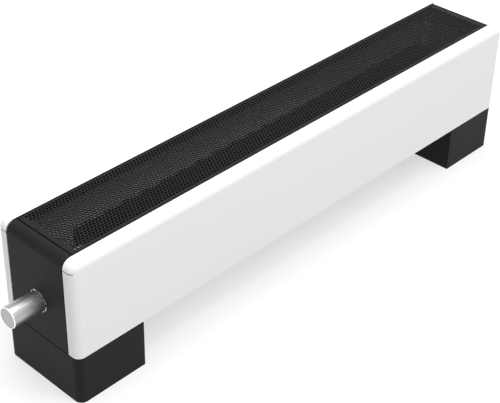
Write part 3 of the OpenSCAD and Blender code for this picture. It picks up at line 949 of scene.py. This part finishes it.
@dataclass
class Exchanger:
    """Fins and water tubes."""

    finishes: Finishes

    def dress(self) -> None:
        """Put the finishes on the exchanger."""
        self.finishes.dress(Finishes.DARK_COAT_AND_SHADE, "fin_pack")
        self.finishes.dress(Finishes.COPPER, "front_tube", "rear_tube")
        self.finishes.dress(Finishes.BEND_COPPER_SHADE, "return_bend")
        self.finishes.dress(Finishes.RISER, "supply_pipe", "return_pipe")


@dataclass
class ValveSet:
    """Connection block with its valve, vent and shut-off."""

    finishes: Finishes

    def dress(self) -> None:
        """Put the finishes on the block and its fittings."""
        self.finishes.dress(Finishes.BRASS, "pipe_nuts", "floor_unions")
        self.finishes.dress(Finishes.NICKEL, "valve_block", "lockshield_gland", "air_vent")
        self.finishes.dress(Finishes.STEEL, "valve_pin", "lockshield_spindle", "bleed_screw")
        self.finishes.dress(Finishes.ZINC, "block_spacers", "block_screws", "block_nuts",
                            "valve_insert")


@dataclass
class ThermostaticHead:
    """Turning sleeve, carrier, sensor and union nut."""

    finishes: Finishes

    def dress(self) -> None:
        """Put the finishes on the head."""
        self.finishes.dress(Finishes.KNOB, "thermostat_knob")
        self.finishes.dress(Finishes.PLASTIC, "head_base")
        self.finishes.dress(Finishes.CHROME, "head_nut")
        self.finishes.dress(Finishes.COPPER, "sensor")


@dataclass
class Fasteners:
    """Bolts, nuts and screws."""

    finishes: Finishes

    def dress(self) -> None:
        """Put the plating on the fasteners."""
        self.finishes.dress(Finishes.ZINC, "foot_bolts", "foot_nuts", "casing_screws")


@dataclass(frozen=True)
class SoftLamp:
    """A square soft lamp: its side in metres and its power in watts."""

    name: str
    place: Point
    target: Point
    side: float
    power: float

    def hang(self) -> None:
        """Put the lamp in its place, facing its target."""
        data = bpy.data.lights.new(self.name, "AREA")
        data.size = self.side
        data.energy = self.power
        lamp = bpy.data.objects.new(self.name, data)
        lamp.location = self.place
        aim = Vector(self.target) - Vector(self.place)
        lamp.rotation_euler = aim.to_track_quat("-Z", "Y").to_euler()
        bpy.context.scene.collection.objects.link(lamp)


@dataclass
class Studio:
    """Camera, floor, world and lamps."""

    WHITE = (1.0, 1.0, 1.0)
    LAMPS = (
        SoftLamp("key_lamp", (-0.5, -2.3, 2.6), (0.0, 0.0, 0.1), 2.2, 40.0),
        SoftLamp("top_lamp", (0.2, 0.3, 3.2), (0.0, 0.0, 0.1), 2.6, 52.0),
        SoftLamp("strip_lamp", (0.15, -0.9, 2.7), (-0.2, 0.0, 0.1), 0.5, 10.0),
    )

    camera_place: Point = (-1.0623, -0.93585, 1.03907)
    camera_azimuth: float = -44.844
    camera_elevation: float = 33.765
    focal_pixels: float = 1287.579
    axis_pixel: tuple[float, float] = (206.783, 178.048)
    sensor_width: float = 36.0
    clip_start: float = 0.01
    clip_end: float = 50.0
    floor_size: float = 9.0
    floor_colour: Colour = (0.45, 0.45, 0.45)
    floor_roughness: float = 0.9
    floor_specular: float = 0.1
    floor_glow: float = 0.52
    sky: float = 0.70

    def build(self) -> None:
        """Set up everything around the object."""
        bpy.context.scene.view_settings.view_transform = "Standard"
        self._camera()
        self._floor()
        self._world()
        for lamp in self.LAMPS:
            lamp.hang()

    def _camera(self) -> None:
        """Place the camera at the photograph's view."""
        data = bpy.data.cameras.new("camera")
        data.sensor_width = self.sensor_width
        data.sensor_fit = "HORIZONTAL"
        data.lens = self.focal_pixels * self.sensor_width / IMAGE_WIDTH
        data.shift_x = (IMAGE_WIDTH / 2 - self.axis_pixel[0]) / IMAGE_WIDTH
        data.shift_y = (self.axis_pixel[1] - IMAGE_HEIGHT / 2) / IMAGE_WIDTH
        data.clip_start = self.clip_start
        data.clip_end = self.clip_end
        camera = bpy.data.objects.new("camera", data)
        camera.location = self.camera_place
        camera.rotation_euler = (math.radians(90 - self.camera_elevation), 0.0,
                                 math.radians(self.camera_azimuth))
        bpy.context.scene.collection.objects.link(camera)
        bpy.context.scene.camera = camera

    def _floor(self) -> None:
        """Lay a pale floor that keeps the object's shadow."""
        draft = MeshDraft()
        half = self.floor_size / 2
        draft.face([draft.point(x, y, 0.0) for x, y in
                    ((-half, -half), (half, -half), (half, half), (-half, half))])
        sheet = FinishSheet("floor_paint")
        sheet.feed(sheet.shader.inputs["Base Color"], self.floor_colour)
        sheet.constant(Roughness=self.floor_roughness, Specular_IOR_Level=self.floor_specular)
        glow = sheet.add("ShaderNodeEmission")
        sheet.feed(glow.inputs["Color"], self.WHITE)
        share = sheet.math("MULTIPLY", self._seen(sheet), self.floor_glow)
        sheet.join(share, glow.inputs["Strength"])
        both = sheet.add("ShaderNodeAddShader")
        sheet.join(sheet.shader.outputs[0], both.inputs[0])
        sheet.join(glow.outputs[0], both.inputs[1])
        sheet.join(both.outputs[0], sheet.tree.nodes["Material Output"].inputs["Surface"])
        draft.piece("floor", sheet.material)

    def _seen(self, sheet: NodeSheet) -> Socket:
        """Give one for camera, glossy and transmission rays.

        Args:
            sheet: The tree that asks.

        Returns:
            The value socket.
        """
        rays = sheet.add("ShaderNodeLightPath").outputs
        mirrored = sheet.math("MAXIMUM", rays["Is Glossy Ray"], rays["Is Transmission Ray"])
        return sheet.math("MAXIMUM", rays["Is Camera Ray"], mirrored)

    def _world(self) -> None:
        """Make a soft even sky that shows as white."""
        world = bpy.data.worlds.new("soft_sky")
        world.use_nodes = True
        sheet = NodeSheet(world.node_tree)
        back = sheet.tree.nodes["Background"]
        sheet.feed(back.inputs["Color"], self.WHITE)
        lift = sheet.math("MULTIPLY", self._seen(sheet), 1.0 - self.sky)
        sheet.join(sheet.math("ADD", lift, self.sky), back.inputs["Strength"])
        bpy.context.scene.world = world


def main() -> None:
    """Build and dress every sub-assembly."""
    logging.basicConfig(level=logging.INFO, format="%(name)s: %(message)s")
    finishes = Finishes()
    Studio().build()
    Casing(finishes).dress()
    PerforatedGrille(finishes).build()
    Feet(finishes).dress()
    Exchanger(finishes).dress()
    ValveSet(finishes).dress()
    ThermostaticHead(finishes).dress()
    Fasteners(finishes).dress()


if __name__ == "__main__":
    main()
